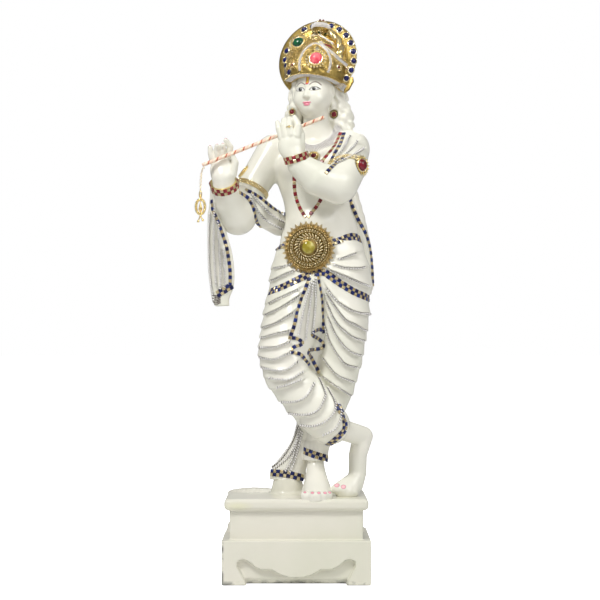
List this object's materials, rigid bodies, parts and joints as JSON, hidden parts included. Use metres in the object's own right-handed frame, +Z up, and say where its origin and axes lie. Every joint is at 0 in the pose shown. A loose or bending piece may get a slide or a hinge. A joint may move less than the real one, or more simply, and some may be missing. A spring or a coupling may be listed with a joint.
{
  "type": "krishna figure",
  "caption": "Standing marble figure of Krishna playing the flute, legs crossed, with gilt jewelled crown, sun medallion and draped dhoti, carved in one block with its stepped plinth.",
  "frame": {"origin": "centre of the plinth's underside, on the surface that it stands on", "axes": "+Z up, the figure faces -Y, +X towards the figure's left hand side"},
  "size_m": [0.242, 0.1436, 0.7683],
  "materials": {
    "marble": "polished white marble, faintly greenish in the shade",
    "gilt": "bright gilt metal with fine beading",
    "aged_gilt": "dulled antique gold",
    "silver_beads": "rows of small clear paste stones in silver cups",
    "green_stone": "deep green polished cabochon",
    "pink_stone": "pink faceted cabochon",
    "blue_stone": "dark blue polished cabochons",
    "red_stone": "dark red polished cabochons",
    "yellow_stone": "olive yellow faceted cabochon",
    "square_stones": "blue and gold square stones in two rows",
    "red_squares": "dark red square stones edged with gold",
    "flute_wrap": "turned wooden flute, wrapped in a red, cream and gold spiral"
  },
  "bodies": {
    "root": {"figure": "marble", "crown": "gilt", "crown_finial_stone": "red_stone", "crown_green_setting": "gilt", "crown_green_stone": "green_stone", "crown_pink_setting": "gilt", "crown_pink_stone": "pink_stone", "crown_rim_stone_01": "blue_stone", "crown_rim_stone_02": "blue_stone", "crown_rim_stone_03": "blue_stone", "crown_rim_stone_04": "blue_stone", "crown_rim_stone_05": "blue_stone", "crown_rim_stone_06": "blue_stone", "crown_rim_stone_07": "blue_stone", "crown_rim_stone_08": "blue_stone", "crown_rim_stone_10": "blue_stone", "crown_rim_stone_11": "blue_stone", "crown_rim_stone_14": "blue_stone", "crown_rim_stone_15": "blue_stone", "crown_rim_stone_16": "blue_stone", "crown_rim_stone_17": "blue_stone", "flute": "flute_wrap", "flute_chain": "gilt", "flute_charm": "gilt", "right_bracelet": "red_squares", "left_bracelet": "red_squares", "right_armlet": "gilt", "right_armlet_brooch": "gilt", "left_armlet": "gilt", "left_armlet_brooch": "gilt", "left_armlet_stone": "red_stone", "finger_ring": "gilt", "right_earring": "gilt", "right_earring_stone": "red_stone", "left_earring": "gilt", "left_earring_stone": "red_stone", "collar": "silver_beads", "collar_pendant": "gilt", "collar_pendant_stone": "red_stone", "red_strand_right": "red_squares", "red_strand_left": "red_squares", "red_strand_low": "red_squares", "waist_belt": "square_stones", "sun_medallion": "aged_gilt", "sun_stone": "yellow_stone"}
  },
  "joints": []
}
